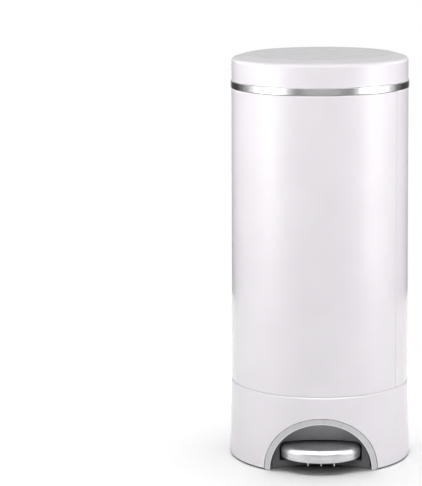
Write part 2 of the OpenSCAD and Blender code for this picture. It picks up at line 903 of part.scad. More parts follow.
module lid_gasket() {
    color("#6d6d70")
    difference() {
        ring(well_r - 3, well_r + 5, band_top - 1.6, liner_z);
        slab(head_half + 3, cover_front - 1, far, 0, far);
    }
}

// Barrel, plate and crank that turn the lid on its pin
module lid_hinge() {
    color("#8f8f94")
    difference() {
        union() {
            x_rod(barrel_r, barrel_half, hinge_y, hinge_z);
            slab(barrel_half, lid_boss_y - 6, hinge_y, hinge_z + 2.5, lid_plate_top - 0.2);
            x_rod(4.5, crank_half, crank_pin_y, crank_pin_z);
            rotate([90, 0, 90])
                translate([0, 0, -crank_half])
                    linear_extrude(2 * crank_half)
                        polygon([
                            [crank_pin_y - 2.4, crank_pin_z + 3.2], [crank_pin_y + 2.4, crank_pin_z - 3.2],
                            [hinge_y + 3.4, hinge_z - 4.5], [hinge_y - 3.4, hinge_z + 4.5]
                        ]);
            x_rod(crank_pin_r, 8.6, crank_pin_y, crank_pin_z);
        }
        x_rod(hinge_pin_r + run_gap, far, hinge_y, hinge_z);
        for (s = [-1, 1])
            z_rod(screw_r + fit_gap, 0, far, [s * lid_boss_x, lid_boss_y]);
    }
}

module lid_screws() {
    color("silver")
    for (s = [-1, 1]) {
        z_rod(small_head_r, hinge_z + 2.5 - head_h, hinge_z + 2.5, [s * lid_boss_x, lid_boss_y]);
        z_rod(screw_r - run_gap, hinge_z + 2, lid_plate_top + 10, [s * lid_boss_x, lid_boss_y]);
    }
}

// Twist-off cover of the odour puck
module puck_cover() {
    color("#9fc3dd")
    difference() {
        union() {
            z_rod(cup_r + cup_wall, cup_foot - 3, cup_foot - 0.5);
            ring(puck_r + 0.5, cup_r - 1.8, cup_foot - 1, liner_z - 1.5);
            for (a = [0, 180])
                sector(a - 25, a + 25)
                    translate([cup_r - 3, cup_foot + 2])
                        square([2.4, tab_h]);
        }
        // slots that let the scent out
        for (a = [0:30:330])
            rotate([0, 0, a])
                translate([12, -1.5, 0])
                    cube([16, 3, far]);
        // finger grip
        slab(1.5, -8, 8, cup_foot - 4, cup_foot - 2);
    }
}

module odour_puck() {
    color("#e9e4c8")
    difference() {
        z_rod(puck_r, cup_foot - 0.4, liner_z - 2);
        z_rod(5, 0, far);
    }
}

// ---- Door ----

module door_panel() {
    barrel_h = door_head - door_foot;
    color("#e3e0e4")
    difference() {
        union() {
            sector(-door_hinge_a, door_free_a)
                drafted(0, wall, door_foot, door_head);
            z_rod(door_barrel_r, door_foot, door_head, door_axis);
            // stiffening ribs along the top and bottom edges
            for (z = [door_foot, door_head - 3])
                sector(-door_hinge_a + 6, door_free_a - 5)
                    translate([body_r(z) - wall - 3.5, z])
                        square([4, 3]);
        }
        z_rod(door_pin_r + run_gap, door_foot - 1, door_foot + 16, door_axis);
        z_rod(door_pin_r + run_gap, door_head - 16, door_head + 1, door_axis);
    }
}

catch_from = claw_a + 1.7;
catch_to = claw_a + 4.2;
claw_reach = 3.8;

// Block on the door that the latch's claw holds
module door_catch() {
    color("#8f8f94")
    sector(catch_from, catch_to)
        translate([latch_r + latch_w + 0.8, latch_z - latch_h])
            square([body_r(latch_z + latch_h) - wall - 0.05 - latch_r - latch_w - 0.8, 2 * latch_h]);
}

// ---- Latch ----

latch_pivot = at(latch_r - 0.5 + latch_w / 2 - 1.5, latch_pivot_a);
latch_pin_r = 2;

module latch_lever() {
    color("#8f8f94")
    difference() {
        union() {
            sector(claw_a - 1.5, latch_pivot_a)
                translate([latch_r, latch_z - latch_h / 2])
                    square([latch_w, latch_h]);
            sector(claw_a - 1.5, claw_a + 0.8)
                translate([latch_r, latch_z - latch_h / 2])
                    square([latch_w + 0.8 + claw_reach - 1, latch_h]);
            z_rod(4.5, latch_z - latch_h / 2, latch_z + latch_h / 2, latch_pivot);
        }
        z_rod(latch_pin_r + run_gap, 0, far, latch_pivot);
    }
}

module release_button() {
    color("#c4c4c8")
    rotate([0, 0, button_a - 90])
        translate([latch_r + latch_w + 0.1, 0, latch_z])
            rotate([0, 90, 0])
                cylinder(r = button_r, h = body_r(latch_z) + 1.4 - latch_r - latch_w - 0.1);
}

spring_a = latch_pivot_a - 18;
latch_spring_h = 9;

// Bracket on the shell that carries the latch's pin and its spring
module latch_bracket() {
    inner = latch_r - latch_spring_h - 2.3;
    shell_in = body_r(latch_z) - wall - 0.25;
    ear_h = 3;
    foot = latch_z - latch_h / 2 - ear_h - 0.6;
    tall = latch_h + 2 * (ear_h + 0.6);
    color("#8f8f94")
    difference() {
        union() {
            for (z = [foot, foot + tall - ear_h])
                sector(spring_a - 3, latch_pivot_a + 3)
                    translate([inner, z])
                        square([shell_in - inner, ear_h]);
            sector(spring_a - 3, spring_a + 3)
                translate([inner, foot])
                    square([2, tall]);
            sector(latch_pivot_a + 2.5, latch_pivot_a + 4)
                translate([inner, foot])
                    square([shell_in - inner, tall]);
        }
        z_rod(latch_pin_r + run_gap, 0, far, latch_pivot);
    }
}

module latch_pin() {
    half = latch_h / 2 + 4.6;
    color("silver")
    z_rod(latch_pin_r, latch_z - half, latch_z + half, latch_pivot);
}

latch_turns = 4;
latch_wire = 0.5;

module latch_spring() {
    echo(latch_spring_gap = latch_spring_h / latch_turns - 2 * latch_wire);
    color("silver")
    rotate([0, 0, spring_a - 90])
        translate([latch_r - latch_spring_h + latch_wire, 0, latch_z])
            rotate([0, 90, 0])
                wire(coil(3.5, latch_spring_h - 2 * latch_wire - 0.3, latch_turns), latch_wire, 6, [0, 0, 1]);
}

// ---- Jaws ----

lip_w = 3.5;
hub = 4.5;         // radius of a jaw's hub
lip_in = 14.5;     // from the flap's ends to the lip's
lip_gap = 1.1;     // the lips' upper corners swing towards each other as the jaws open

// The right jaw; the left one is its mirror image
module jaw() {
    difference() {
        union() {
            box(lip_gap / 2 + lip_w, jaw_x, -jaw_y, jaw_y, jaw_top - jaw_h, jaw_top);
            y_rod(hub, -jaw_y, jaw_y, jaw_x, jaw_z);
            box(jaw_x - 3.8, jaw_x + 3.8, -jaw_y, jaw_y, jaw_z, jaw_top - 1);
            y_rod(jaw_rod_r, -lug_y - lug_w - 1.5, crank_y + 1, jaw_x, jaw_z);
            // crank and its pin
            y_rod(hub, crank_y, crank_y + crank_w, jaw_x, jaw_z);
            translate([jaw_x, 0, jaw_z])
                rotate([0, jaw_angle / 2, 0])
                    translate([0, crank_y, -3])
                        cube([jaw_crank, crank_w, 6]);
            y_rod(3.7, crank_y, crank_y + crank_w, jaw_x + jaw_pin_x, bar_z);
            y_rod(jaw_pin_r, crank_y + 1, bar_y + bar_w, jaw_x + jaw_pin_x, bar_z);
            // stiffening ribs under the flap
            for (y = [-40, 0, 40])
                box(12, jaw_x - 3, y - 1, y + 1, jaw_top - jaw_h - 2.2, jaw_top - jaw_h + 0.5);
        }
        // the two outer corners of the flap are cut off square to the throat
        for (s = [-1, 1])
            translate([0, s * jaw_y, jaw_top - jaw_h / 2])
                rotate([0, 0, 45])
                    cube([20, 20, jaw_h + 1], center = true);
    }
}

module lip() {
    difference() {
        box(lip_gap / 2, lip_gap / 2 + lip_w, -jaw_y + lip_in, jaw_y - lip_in,
            jaw_top - jaw_h - 1, jaw_top + 0.5);
        box(lip_gap / 2 + lip_w - 0.8, far, -jaw_y + 10, jaw_y - 10, jaw_top - jaw_h - 2, jaw_top - jaw_h);
    }
}

module jaw_right() { color("#c4c4c8") jaw(); }
module jaw_left() { color("#c4c4c8") mirror([1, 0, 0]) jaw(); }
module lip_right() { color("#6d6d70") lip(); }
module lip_left() { color("#6d6d70") mirror([1, 0, 0]) lip(); }

base_shell();
arch_liner();
foot_ring();
base_plate();
base_screws();
floor_pan();
body_shell();
door_seal();
top_collar();
trim_band();
ring_holder();
film_ring();
film_pack();
rod_cover();
rod_guide();
return_spring();
hinge_housing();
hinge_screws();
lid_hinge_pin();
door_pins();
pedal_axle();
latch_bracket();
latch_pin();
latch_spring();
pedal_pad();
pedal_lever();
pedal_screws();
push_rod();
rod_fork();
rod_yoke();
lid_shell();
lid_liner();
lid_gasket();
lid_hinge();
lid_screws();
puck_cover();
odour_puck();
door_panel();
door_catch();
latch_lever();
release_button();
jaw_left();
jaw_right();
lip_left();
lip_right();
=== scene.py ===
"""Studio picture of the step-open nappy bin: its pieces, finishes, lamps and camera."""
import json
import math
import bmesh
import bpy
from mathutils import Matrix, Vector


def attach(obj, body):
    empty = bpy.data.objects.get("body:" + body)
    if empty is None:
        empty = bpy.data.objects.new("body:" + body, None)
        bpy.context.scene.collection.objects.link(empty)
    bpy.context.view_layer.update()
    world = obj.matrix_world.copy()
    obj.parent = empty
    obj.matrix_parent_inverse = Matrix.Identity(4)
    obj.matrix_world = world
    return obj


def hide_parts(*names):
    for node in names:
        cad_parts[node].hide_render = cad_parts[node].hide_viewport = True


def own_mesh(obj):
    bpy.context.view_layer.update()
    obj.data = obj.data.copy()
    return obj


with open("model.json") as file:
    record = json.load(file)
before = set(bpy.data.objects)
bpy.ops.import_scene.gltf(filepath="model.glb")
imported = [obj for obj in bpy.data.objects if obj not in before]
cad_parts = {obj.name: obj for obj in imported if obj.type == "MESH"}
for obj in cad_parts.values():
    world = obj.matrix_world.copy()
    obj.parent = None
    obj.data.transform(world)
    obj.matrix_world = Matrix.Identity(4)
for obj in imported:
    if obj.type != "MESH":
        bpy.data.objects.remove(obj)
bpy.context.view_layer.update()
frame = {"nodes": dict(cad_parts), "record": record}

MM = 0.001

# The bin's sizes, in millimetres. The band's radius (141.6), the door's foot (124.3) and head (595.2)
# and the recess's radius (79.0) are a little different in the solids. The others are the same.
BASE_H = 123.5
BAND_FOOT = 596.0
BAND_TOP = 606.4
LID_FOOT = 606.9
HEAD_R = 140.3
BAND_R = 141.4
FOOT_R = 141.8
WALL = 2.8
DOOR_FOOT = 123.9
DOOR_HEAD = 594.9
DOOR_LEFT = -95.0
DOOR_RIGHT = 57.0
DOOR_AXIS = (-134.586, 11.775)
ARCH_R = 90.0
COVE_R = 80.6
BASE_FOOT_R = 145.7
BASE_HEAD_R = 142.7
LID_TOP = 650.0
PEDAL_TOP = 39.5
PEDAL_RIM = 19.5
BUTTON_ANGLE = 105
LATCH_Z = 358


def body_r(z):
    """Outer radius of the drafted body at a height."""
    return FOOT_R + (HEAD_R - FOOT_R) * (z - BASE_H) / (BAND_FOOT - BASE_H)


def base_r(z):
    """Outer radius of the base at a height."""
    return BASE_FOOT_R + (BASE_HEAD_R - BASE_FOOT_R) * z / BASE_H


# ---------------------------------------------------------------- camera

YAW, PITCH, ROLL = math.radians(2.093), math.radians(10.297), math.radians(-0.511)
CAMERA_PLACE = (-0.0565, -3.2359, 0.9318)
SENSOR = 36
FOCAL_PIXELS = 2043.7
PICTURE_PIXELS = 486


def place_camera():
    aim = Vector((-math.sin(YAW) * math.cos(PITCH), math.cos(YAW) * math.cos(PITCH), -math.sin(PITCH)))
    right = Vector((math.cos(YAW), math.sin(YAW), 0))
    up = right.cross(aim)
    right, up = (math.cos(ROLL) * right + math.sin(ROLL) * up,
                 math.cos(ROLL) * up - math.sin(ROLL) * right)
    data = bpy.data.cameras.new("camera")
    data.sensor_width = SENSOR
    data.lens = SENSOR * FOCAL_PIXELS / PICTURE_PIXELS
    camera = bpy.data.objects.new("camera", data)
    turn = Matrix((right, up, -aim)).transposed().to_4x4()
    camera.matrix_world = Matrix.Translation(CAMERA_PLACE) @ turn
    bpy.context.scene.collection.objects.link(camera)
    bpy.context.scene.camera = camera


place_camera()

# ---------------------------------------------------------------- finishes


def new_finish(name):
    finish = bpy.data.materials.new(name)
    finish.use_nodes = True
    tree = finish.node_tree
    return finish, tree.nodes, tree.links, tree.nodes["Principled BSDF"]


def noise(nodes, links, place, scale, detail=2.0, stretch=(1, 1, 1)):
    """Noise on the piece's own place, drawn out along an axis where stretch says."""
    mapping = nodes.new("ShaderNodeMapping")
    mapping.inputs["Scale"].default_value = stretch
    links.new(place.outputs["Object"], mapping.inputs["Vector"])
    grain = nodes.new("ShaderNodeTexNoise")
    grain.inputs["Scale"].default_value = scale
    grain.inputs["Detail"].default_value = detail
    links.new(mapping.outputs["Vector"], grain.inputs["Vector"])
    return grain.outputs["Fac"]


def ranged(nodes, links, value, low, high):
    """Stretches the middle of a noise to a range."""
    span = nodes.new("ShaderNodeMapRange")
    span.inputs["From Min"].default_value = 0.3
    span.inputs["From Max"].default_value = 0.7
    span.inputs["To Min"].default_value = low
    span.inputs["To Max"].default_value = high
    links.new(value, span.inputs["Value"])
    return span.outputs["Result"]


def bumped(nodes, links, shader, value, depth, strength=1.0, below=None):
    bump = nodes.new("ShaderNodeBump")
    bump.inputs["Strength"].default_value = strength
    bump.inputs["Distance"].default_value = depth
    links.new(value, bump.inputs["Height"])
    if below:
        links.new(below, bump.inputs["Normal"])
    links.new(bump.outputs["Normal"], shader.inputs["Normal"])
    return bump.outputs["Normal"]


def maths(nodes, links, operation, first, second):
    """One sum on two values, each a number or a socket."""
    node = nodes.new("ShaderNodeMath")
    node.operation = operation
    for socket, value in zip(node.inputs, (first, second)):
        if isinstance(value, (int, float)):
            socket.default_value = value
        else:
            links.new(value, socket)
    return node.outputs[0]


def seen_or_mirrored(nodes, links):
    """Is the surface looked at by the camera or in a reflection; with the light path itself."""
    path = nodes.new("ShaderNodeLightPath")
    return path, maths(nodes, links, "MAXIMUM", path.outputs["Is Camera Ray"], path.outputs["Is Glossy Ray"])


def place_parts(nodes, links, place):
    """The three parts of a place on the object."""
    apart = nodes.new("ShaderNodeSeparateXYZ")
    links.new(place.outputs["Object"], apart.inputs[0])
    return apart.outputs


def tinted(nodes, links, shader, value, dark, light):
    ramp = nodes.new("ShaderNodeValToRGB")
    ramp.color_ramp.elements[0].position = 0.3
    ramp.color_ramp.elements[1].position = 0.7
    ramp.color_ramp.elements[0].color = (*dark, 1)
    ramp.color_ramp.elements[1].color = (*light, 1)
    links.new(value, ramp.inputs["Fac"])
    links.new(ramp.outputs["Color"], shader.inputs["Base Color"])


def moulded(name, dark, light, rough, rough_spread, grain, depth, shine=0.5, flow=14.0):
    """Moulded plastic: slow colour flow, patchy gloss and the fine skin of the mould."""
    finish, nodes, links, shader = new_finish(name)
    place = nodes.new("ShaderNodeTexCoord")
    tinted(nodes, links, shader, noise(nodes, links, place, flow), dark, light)
    patches = noise(nodes, links, place, 55, 4)
    links.new(ranged(nodes, links, patches, rough - rough_spread, rough + rough_spread),
              shader.inputs["Roughness"])
    skin = noise(nodes, links, place, grain, 3)
    waves = noise(nodes, links, place, 22, 1)
    first = bumped(nodes, links, shader, waves, 0.00015, 0.25)
    bumped(nodes, links, shader, skin, depth, 1.0, first)
    shader.inputs["IOR"].default_value = 1.48
    shader.inputs["Specular IOR Level"].default_value = shine
    return finish


def metal(name, dark, light, rough, rough_spread, grain, stretch, depth, metallic=1.0, flow=30.0):
    """Metal with drawn lines or fine grain along the way it was worked."""
    finish, nodes, links, shader = new_finish(name)
    shader.inputs["Metallic"].default_value = metallic
    place = nodes.new("ShaderNodeTexCoord")
    tinted(nodes, links, shader, noise(nodes, links, place, flow, 3), dark, light)
    lines = noise(nodes, links, place, grain, 3, stretch)
    links.new(ranged(nodes, links, lines, rough - rough_spread, rough + rough_spread),
              shader.inputs["Roughness"])
    bumped(nodes, links, shader, lines, depth, 0.6)
    return finish


def soft_rubber(name, dark, light, rough, grain, depth):
    finish, nodes, links, shader = new_finish(name)
    place = nodes.new("ShaderNodeTexCoord")
    tinted(nodes, links, shader, noise(nodes, links, place, 60, 5), dark, light)
    links.new(ranged(nodes, links, noise(nodes, links, place, 200, 2), rough - 0.08, rough + 0.08),
              shader.inputs["Roughness"])
    bumped(nodes, links, shader, noise(nodes, links, place, grain, 3), depth)
    shader.inputs["Sheen Weight"].default_value = 0.1
    return finish


def pressed_powder(name):
    """Chalky, crumbly puck with a few darker specks."""
    finish, nodes, links, shader = new_finish(name)
    place = nodes.new("ShaderNodeTexCoord")
    tinted(nodes, links, shader, noise(nodes, links, place, 420, 6), (0.66, 0.6, 0.4), (0.86, 0.82, 0.64))
    shader.inputs["Roughness"].default_value = 0.85
    shader.inputs["Specular IOR Level"].default_value = 0.25
    bumped(nodes, links, shader, noise(nodes, links, place, 700, 6), 0.0005)
    return finish


def thin_film(name):
    """Stacked thin film: fine horizontal folds, a soft sheen and milky depth."""
    finish, nodes, links, shader = new_finish(name)
    place = nodes.new("ShaderNodeTexCoord")
    folds = noise(nodes, links, place, 260, 4, (0.25, 0.25, 3.0))
    tinted(nodes, links, shader, folds, (0.7, 0.76, 0.8), (0.9, 0.94, 0.96))
    links.new(ranged(nodes, links, folds, 0.22, 0.4), shader.inputs["Roughness"])
    bumped(nodes, links, shader, folds, 0.0006)
    shader.inputs["Sheen Weight"].default_value = 0.25
    shader.inputs["Subsurface Weight"].default_value = 0.2
    shader.inputs["Subsurface Radius"].default_value = (0.004, 0.004, 0.004)
    shader.inputs["Subsurface Scale"].default_value = 0.5
    return finish


def recess_painted_shade(name):
    """Moulded plastic of the recess with painted shade: dark from the floor to the pedal and paler above it."""
    finish, nodes, links, shader = new_finish(name)
    place = nodes.new("ShaderNodeTexCoord")
    height = nodes.new("ShaderNodeMapRange")
    height.inputs["From Min"].default_value = 0.012
    height.inputs["From Max"].default_value = 0.082
    links.new(place_parts(nodes, links, place)["Z"], height.inputs["Value"])
    grain = ranged(nodes, links, noise(nodes, links, place, 30, 3), -0.04, 0.04)
    level = maths(nodes, links, "ADD", height.outputs["Result"], grain)
    # painted shade: darkest near the pedal's height and paler towards the top of the arch
    ramp = nodes.new("ShaderNodeValToRGB")
    ramp.color_ramp.elements[0].color = (0.17, 0.167, 0.174, 1)
    ramp.color_ramp.elements[1].color = (0.46, 0.45, 0.465, 1)
    middle = ramp.color_ramp.elements.new(0.45)
    middle.color = (0.14, 0.137, 0.144, 1)
    links.new(level, ramp.inputs["Fac"])
    links.new(ramp.outputs["Color"], shader.inputs["Base Color"])
    links.new(ranged(nodes, links, noise(nodes, links, place, 70, 4), 0.3, 0.45), shader.inputs["Roughness"])
    bumped(nodes, links, shader, noise(nodes, links, place, 1300, 3), 0.00003)
    return finish


FINISHES = {
    "white_plastic": moulded("white_plastic", (0.738, 0.708, 0.742), (0.768, 0.738, 0.772),
                             0.13, 0.035, 900, 0.00001, shine=0.42),
    "inner_plastic": moulded("inner_plastic", (0.66, 0.66, 0.68), (0.7, 0.7, 0.72),
                             0.38, 0.06, 1300, 0.00004),
    "trim_plastic": moulded("trim_plastic", (0.51, 0.505, 0.52), (0.55, 0.545, 0.56),
                            0.3, 0.06, 1500, 0.00003),
    "frame_plastic": moulded("frame_plastic", (0.24, 0.24, 0.26), (0.29, 0.29, 0.31),
                             0.45, 0.08, 1100, 0.00005),
    "pedal_silver": metal("pedal_silver", (0.6, 0.6, 0.62), (0.68, 0.68, 0.7),
                          0.3, 0.015, 2600, (1, 1, 1), 0.000002, 0.8),
    "band_steel": metal("band_steel", (0.78, 0.78, 0.79), (0.84, 0.84, 0.85),
                        0.14, 0.04, 900, (0.02, 0.02, 3.0), 0.00001),
    "steel": metal("steel", (0.5, 0.5, 0.52), (0.62, 0.62, 0.64),
                   0.28, 0.08, 1200, (1, 1, 1), 0.00002),
    "rubber": soft_rubber("rubber", (0.06, 0.06, 0.065), (0.09, 0.09, 0.095), 0.7, 900, 0.0001),
    "soft_seal": soft_rubber("soft_seal", (0.13, 0.13, 0.14), (0.17, 0.17, 0.18), 0.55, 1200, 0.00006),
    "ring_blue": moulded("ring_blue", (0.3, 0.52, 0.7), (0.34, 0.57, 0.74),
                         0.25, 0.05, 1200, 0.00002),
    "film": thin_film("film"),
    "puck": pressed_powder("puck"),
}
SLOT_OF = {part["node"]: part["material_slot"] for part in frame["record"]["subparts"]}


def dress(piece, slot):
    piece.data.materials.clear()
    piece.data.materials.append(FINISHES[slot])


for node, solid in frame["nodes"].items():
    dress(solid, SLOT_OF[node])

# ---------------------------------------------------------------- making pieces


def only(piece):
    """Selects one piece alone and makes it the active one."""
    bpy.ops.object.select_all(action="DESELECT")
    piece.select_set(True)
    bpy.context.view_layer.objects.active = piece


def edit(piece):
    only(piece)
    bpy.ops.object.mode_set(mode="EDIT")
    bpy.ops.mesh.select_all(action="DESELECT")
    return bmesh.from_edit_mesh(piece.data)


def done(piece):
    bpy.ops.object.mode_set(mode="OBJECT")
    return piece


def pick_edges(shape, wanted):
    """Selects the edges whose two ends both pass a test, given in millimetres."""
    for e in shape.edges:
        if all(wanted(v.co / MM) for v in e.verts):
            e.select_set(True)


def pick_faces(shape, wanted):
    """Selects the faces whose middle passes a test, given in millimetres and with the normal."""
    for f in shape.faces:
        if wanted(f.calc_center_median() / MM, f.normal):
            f.select_set(True)


def turned(name, outline, steps=192, closed=True, centre=(0, 0)):
    """A ring of edges pulled up and down an outline of (radius, height), as on a lathe."""
    bpy.ops.object.select_all(action="DESELECT")
    cx, cy = centre[0] * MM, centre[1] * MM
    bpy.ops.mesh.primitive_circle_add(vertices=steps, radius=outline[0][0] * MM, location=(0, 0, 0))
    piece = bpy.context.object
    piece.name = name
    bpy.ops.object.mode_set(mode="EDIT")
    bpy.ops.mesh.select_all(action="SELECT")
    bpy.ops.transform.translate(value=(cx, cy, outline[0][1] * MM))
    for (r0, z0), (r1, z1) in zip(outline, outline[1:]):
        bpy.ops.mesh.extrude_edges_move(TRANSFORM_OT_translate={"value": (0, 0, (z1 - z0) * MM)})
        if r1 != r0:
            bpy.ops.transform.resize(value=(r1 / r0, r1 / r0, 1), center_override=(cx, cy, z1 * MM))
    bpy.ops.mesh.select_all(action="DESELECT")
    bpy.ops.mesh.select_mode(type="EDGE")
    bpy.ops.mesh.select_non_manifold()
    if closed:
        bpy.ops.mesh.bridge_edge_loops()
    else:
        bpy.ops.mesh.select_all(action="SELECT")
        bpy.ops.mesh.fill_holes(sides=0)
    bpy.ops.mesh.select_all(action="SELECT")
    bpy.ops.mesh.normals_make_consistent(inside=False)
    return done(piece)


def round_ring(piece, r, z, width, segments=4, centre=(0, 0)):
    """Rounds the ring of edges at a radius and a height."""
    shape = edit(piece)
    bpy.ops.mesh.select_mode(type="EDGE")
    pick_edges(shape, lambda p: abs(math.hypot(p.x - centre[0], p.y - centre[1]) - r) < 0.05
               and abs(p.z - z) < 0.05)
    bpy.ops.mesh.bevel(offset=width * MM, segments=segments, profile=0.5)
    return done(piece)


def close_middle(piece, r):
    """Draws the small rings round the axis together into points."""
    shape = edit(piece)
    bpy.ops.mesh.select_mode(type="VERT")
    for v in shape.verts:
        v.select_set(math.hypot(v.co.x, v.co.y) < r * MM)
    bpy.ops.mesh.remove_doubles(threshold=2.1 * MM)
    return done(piece)


def placed(piece, turn=(0, 0, 0), shift=(0, 0, 0), stretch=(1, 1, 1)):
    """Turns, stretches and moves a piece, and leaves its place in its mesh."""
    only(piece)
    piece.scale = stretch
    piece.rotation_euler = [math.radians(t) for t in turn]
    piece.location = [c * MM for c in shift]
    bpy.ops.object.transform_apply(location=True, rotation=True, scale=True)
    return piece


def at(r, angle, z):
    """A point at a radius, an angle to the right of the front and a height."""
    return (r * math.sin(math.radians(angle)), -r * math.cos(math.radians(angle)), z)


def wound(name, centre, along, r, wire, length, turns):
    """A coil of round wire, drawn as a line with a thickness and made a mesh."""
    line = bpy.data.curves.new(name, "CURVE")
    line.dimensions = "3D"
    line.bevel_depth = wire * MM
    line.bevel_resolution = 3
    line.use_fill_caps = True
    path = line.splines.new("POLY")
    steps = 24
    count = turns * steps + 1
    path.points.add(count - 1)
    turn = Vector(along).to_track_quat("Z", "Y").to_matrix()
    for i in range(count):
        a = 2 * math.pi * i / steps
        spot = Vector(centre) + turn @ Vector((r * math.cos(a), r * math.sin(a), length * i / (count - 1)))
        path.points[i].co = (*(spot * MM), 1)
    spring = bpy.data.objects.new(name, line)
    bpy.context.scene.collection.objects.link(spring)
    only(spring)
    bpy.ops.object.convert(target="MESH")
    return bpy.context.object


def cut(piece, point, normal):
    """Saws the piece at a plane and drops the side that the normal points to."""
    edit(piece)
    bpy.ops.mesh.select_all(action="SELECT")
    bpy.ops.mesh.bisect(plane_co=[c * MM for c in point], plane_no=normal, use_fill=True,
                        clear_outer=True)
    return done(piece)


def box_tool(x0, x1, y0, y1, z0, z1):
    bpy.ops.object.select_all(action="DESELECT")
    bpy.ops.mesh.primitive_cube_add(size=1, location=((x0 + x1) / 2 * MM, (y0 + y1) / 2 * MM, (z0 + z1) / 2 * MM),
                                    scale=((x1 - x0) * MM, (y1 - y0) * MM, (z1 - z0) * MM))
    bpy.ops.object.transform_apply(location=True, rotation=True, scale=True)
    return bpy.context.object


def rod_tool(r, p0, p1, steps=64):
    """A round bar between two points."""
    a, b = Vector(p0) * MM, Vector(p1) * MM
    bpy.ops.object.select_all(action="DESELECT")
    bpy.ops.mesh.primitive_cylinder_add(vertices=steps, radius=r * MM, depth=(b - a).length)
    tool = bpy.context.object
    tool.matrix_world = Matrix.Translation((a + b) / 2) @ (b - a).to_track_quat("Z", "Y").to_matrix().to_4x4()
    bpy.ops.object.transform_apply(location=True, rotation=True, scale=True)
    return tool


def carve(piece, tool, operation="DIFFERENCE"):
    """Cuts one piece with another, or joins the two into one skin."""
    only(piece)
    modifier = piece.modifiers.new("carve", "BOOLEAN")
    modifier.object = tool
    modifier.operation = operation
    modifier.solver = "EXACT"
    bpy.ops.object.modifier_apply(modifier=modifier.name)
    bpy.data.objects.remove(tool)
    return piece


def join(piece, *others):
    """Puts loose parts of one moulding into one piece."""
    only(piece)
    for other in others:
        other.select_set(True)
    bpy.ops.object.join()
    return piece


def soften(piece, width, segments=3, angle=30):
    """Breaks the sharp edges, and lets the big faces rule the shading."""
    only(piece)
    bevel = piece.modifiers.new("soften", "BEVEL")
    bevel.width = width * MM
    bevel.segments = segments
    bevel.limit_method = "ANGLE"
    bevel.angle_limit = math.radians(angle)
    bevel.miter_outer = "MITER_ARC"
    bevel.use_clamp_overlap = True
    bpy.ops.object.modifier_apply(modifier=bevel.name)
    return piece


def finish_piece(piece, slot, body, nodes, smooth=35):
    """Smooth shading, finish, the body it rides on and the solids it stands for."""
    only(piece)
    bpy.ops.object.shade_smooth_by_angle(angle=math.radians(smooth))
    weighted = piece.modifiers.new("weighted", "WEIGHTED_NORMAL")
    weighted.keep_sharp = True
    weighted.weight = 80
    bpy.ops.object.modifier_apply(modifier=weighted.name)
    dress(piece, slot)
    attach(piece, body)
    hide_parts(*nodes)


# ---------------------------------------------------------------- lid

def make_lid():
    outer = [(140.4, LID_FOOT), (140.4, LID_FOOT + 1.2), (140, LID_FOOT + 2.2), (140, 641.8), (131, 644.75),
             (118.5, 648.25), (112, 648.75), (80, 649.4), (40, 649.85), (1, LID_TOP)]
    inner = [(1, 647.2), (40, 647.05), (80, 646.6), (112, 645.95), (117.7, 645.5), (130.2, 641.8),
             (137.2, 638.6), (137.2, LID_FOOT)]
    lid = close_middle(turned("lid_cap", outer + inner), 1.5)
    round_ring(lid, 140, 641.8, 4.2, 8)
    round_ring(lid, 131, 644.75, 3.0, 3)
    round_ring(lid, 118.5, 648.25, 2.0, 4)
    carve(lid, box_tool(-35, 35, 100, 200, 590, 620.4))
    soften(lid, 0.6, 3, 40)
    for s in (-26, 26):
        boss = rod_tool(4.5, (s, 121.5, 619.4), (s, 121.5, 644.5), 40)
        carve(boss, rod_tool(1.6, (s, 121.5, 610), (s, 121.5, 630), 24))
        join(lid, soften(boss, 0.4, 2))
    finish_piece(lid, "white_plastic", "lid", ["lid_shell"], 22)


make_lid()

# ---------------------------------------------------------------- steel band

def make_band():
    band = turned("steel_band", [(139.4, BAND_FOOT), (BAND_R, BAND_FOOT), (BAND_R, BAND_TOP), (139.4, BAND_TOP)], 256)
    round_ring(band, BAND_R, BAND_FOOT, 0.4, 3)
    round_ring(band, BAND_R, BAND_TOP, 0.25, 3)
    carve(band, box_tool(-5, 5, 100, 200, 590, 610))
    soften(band, 0.15, 2, 50)
    finish_piece(band, "band_steel", "bin", ["trim_band"])


make_band()

# ---------------------------------------------------------------- body and door

def wall_ring(name, low, high, inset, thick):
    """A ring of wall that follows the body's draft, at a distance inside its skin."""
    return turned(name, [(body_r(low) - inset - thick, low), (body_r(low) - inset, low),
                         (body_r(high) - inset, high), (body_r(high) - inset - thick, high)], 240)


def skin_ring(name, low, high):
    """The body's wall, with a narrow slope round its upper edge."""
    return turned(name, [(body_r(low) - WALL, low), (body_r(low), low), (body_r(high), high - 2.2),
                         (body_r(high) - 1.1, high), (body_r(high) - WALL, high)], 240)


def sawn_sector(piece, left, right):
    """Keeps the part of a ring between two angles to the right of the front, under half a turn apart."""
    for a, side in ((left, -1), (right, 1)):
        a = math.radians(a)
        cut(piece, (0, 0, 0), Vector((math.cos(a), math.sin(a), 0)) * side)
    return piece


def make_door():
    door = sawn_sector(skin_ring("door_leaf", DOOR_FOOT, DOOR_HEAD), DOOR_LEFT + 0.9, DOOR_RIGHT)
    soften(door, 0.5, 3, 40)
    for z in (DOOR_FOOT, DOOR_HEAD - 3):
        rib = turned("rib", [(body_r(z) - WALL - 3.5, z), (body_r(z) - WALL + 0.4, z),
                             (body_r(z) - WALL + 0.4, z + 3), (body_r(z) - WALL - 3.5, z + 3)])
        sawn_sector(rib, DOOR_LEFT + 6, DOOR_RIGHT - 5)
        join(door, soften(rib, 0.6, 3, 40))
    barrel = turned("barrel", [(2.55, DOOR_FOOT), (5.2, DOOR_FOOT), (5.2, DOOR_HEAD), (2.55, DOOR_HEAD)],
                    64, centre=DOOR_AXIS)
    join(door, soften(barrel, 0.5, 3, 40))
    finish_piece(door, "white_plastic", "door", ["door_panel"], 20)


make_door()

